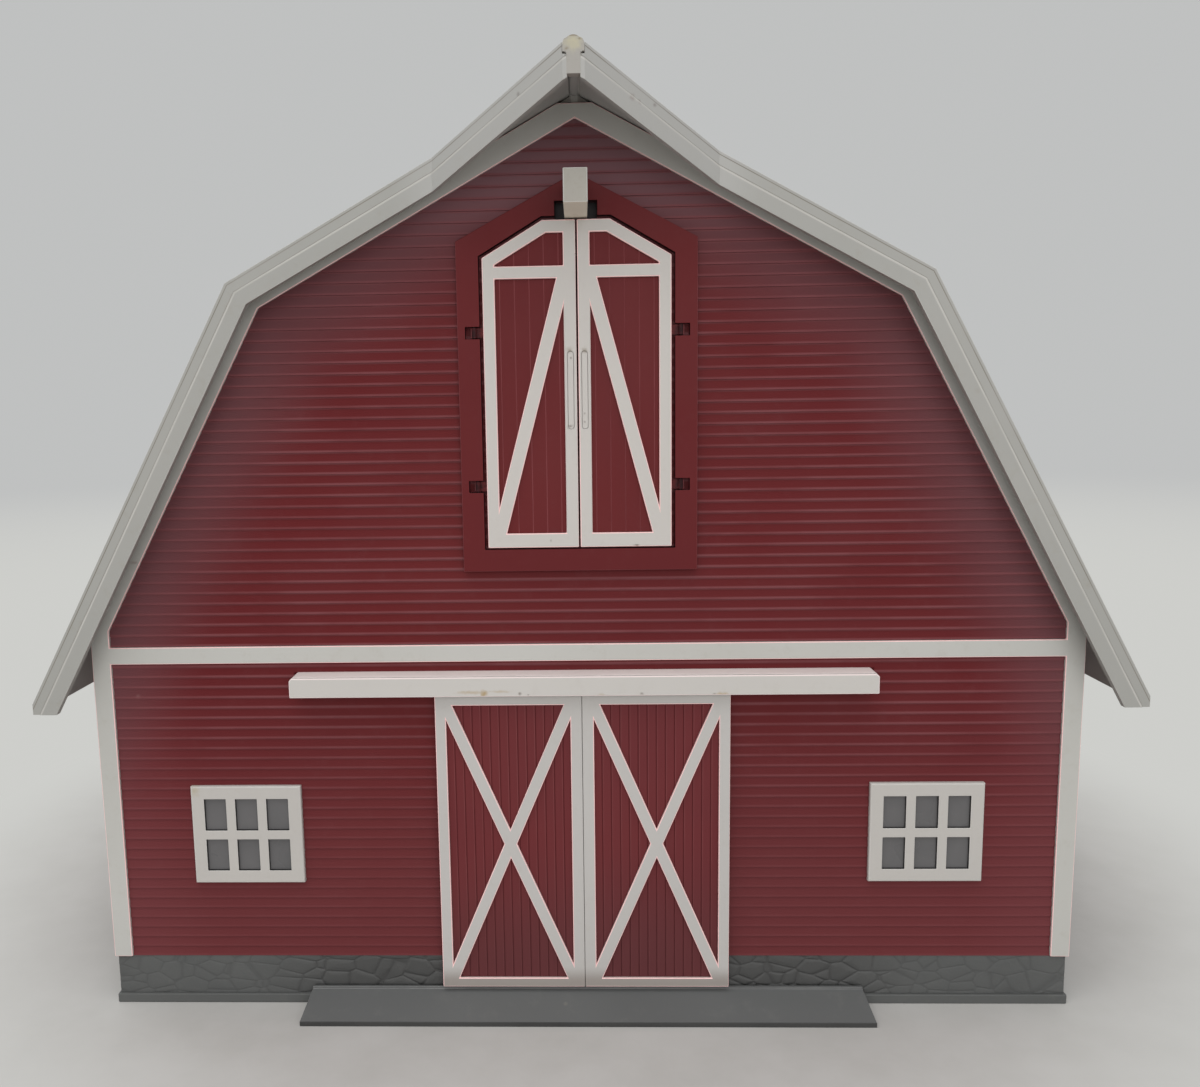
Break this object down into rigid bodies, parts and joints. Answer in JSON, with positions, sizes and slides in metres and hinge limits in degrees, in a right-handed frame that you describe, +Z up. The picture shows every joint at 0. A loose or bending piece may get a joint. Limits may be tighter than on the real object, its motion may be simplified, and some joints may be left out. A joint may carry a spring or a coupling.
{
  "type": "toy barn",
  "caption": "Toy barn with a gambrel roof hinged at its ridge, sliding barn doors, hinged loft doors under a hay hood, small-paned windows and a stone-faced foundation.",
  "frame": {"origin": "on the ground, under the middle of the whole barn's box, roof overhangs included", "axes": "+X to the right as seen from the front, +Y from the front gable to the back, +Z up"},
  "size_m": [0.2628, 0.2694, 0.2217],
  "materials": {
    "red_plastic": "moulded lap siding and boards in dark barn red, satin",
    "white_plastic": "white boards, frames and door track, satin, a little yellowed",
    "roof_plastic": "off-white roof plastic, satin, aged warm",
    "grey_plastic": "mid grey foundation and ramp, matt",
    "window_plastic": "smoky grey window panes",
    "steel_wire": "plain drawn wire"
  },
  "bodies": {
    "barn": {"foundation": "grey_plastic", "stone_facing": "grey_plastic", "door_ramp": "grey_plastic", "front_wall": "red_plastic", "front_trim": "white_plastic", "back_wall": "red_plastic", "back_trim": "white_plastic", "left_side_wall": "red_plastic", "right_side_wall": "red_plastic", "left_side_trim": "white_plastic", "right_side_trim": "white_plastic", "loft_floor": "grey_plastic", "front_ridge_saddle": "roof_plastic", "back_ridge_saddle": "roof_plastic", "front_ridge_cap": "roof_plastic", "back_ridge_cap": "roof_plastic", "ridge_rod": "steel_wire", "loft_surround": "red_plastic", "loft_hinge_pins": "steel_wire", "hoist_beam": "white_plastic", "door_track": "white_plastic", "front_left_window": "white_plastic", "front_right_window": "white_plastic", "back_left_window": "white_plastic", "back_right_window": "white_plastic", "left_window_1": "white_plastic", "left_window_2": "white_plastic", "left_window_3": "white_plastic", "right_window_1": "white_plastic", "right_window_2": "white_plastic", "right_window_3": "white_plastic", "front_left_panes": "window_plastic", "front_right_panes": "window_plastic", "back_left_panes": "window_plastic", "back_right_panes": "window_plastic", "left_panes_1": "window_plastic", "left_panes_2": "window_plastic", "left_panes_3": "window_plastic", "right_panes_1": "window_plastic", "right_panes_2": "window_plastic", "right_panes_3": "window_plastic"},
    "left_door": {"left_door_panel": "red_plastic", "left_door_frame": "white_plastic"},
    "right_door": {"right_door_panel": "red_plastic", "right_door_frame": "white_plastic"},
    "left_loft_door": {"left_loft_panel": "red_plastic", "left_loft_frame": "white_plastic"},
    "right_loft_door": {"right_loft_panel": "red_plastic", "right_loft_frame": "white_plastic"},
    "left_roof": {"roof_left": "roof_plastic"},
    "right_roof": {"roof_right": "roof_plastic"}
  },
  "joints": [
    {"name": "left_door_slide", "type": "slide", "parent": "barn", "child": "left_door", "axis": [-1, 0, 0], "range_m": [0, 0.0333]},
    {"name": "right_door_slide", "type": "slide", "parent": "barn", "child": "right_door", "axis": [1, 0, 0], "range_m": [0, 0.0333]},
    {"name": "left_loft_hinge", "type": "hinge", "parent": "barn", "child": "left_loft_door", "pos_m": [-0.0239, -0.10535, 0.15], "axis": [0, 0, -1], "range_deg": [0, 120]},
    {"name": "right_loft_hinge", "type": "hinge", "parent": "barn", "child": "right_loft_door", "pos_m": [0.0239, -0.10535, 0.15], "axis": [0, 0, 1], "range_deg": [0, 120]},
    {"name": "left_roof_hinge", "type": "hinge", "parent": "barn", "child": "left_roof", "pos_m": [0, 0, 0.22045], "axis": [0, 1, 0], "range_deg": [0, 60]},
    {"name": "right_roof_hinge", "type": "hinge", "parent": "barn", "child": "right_roof", "pos_m": [0, 0, 0.22045], "axis": [0, -1, 0], "range_deg": [0, 60]}
  ]
}
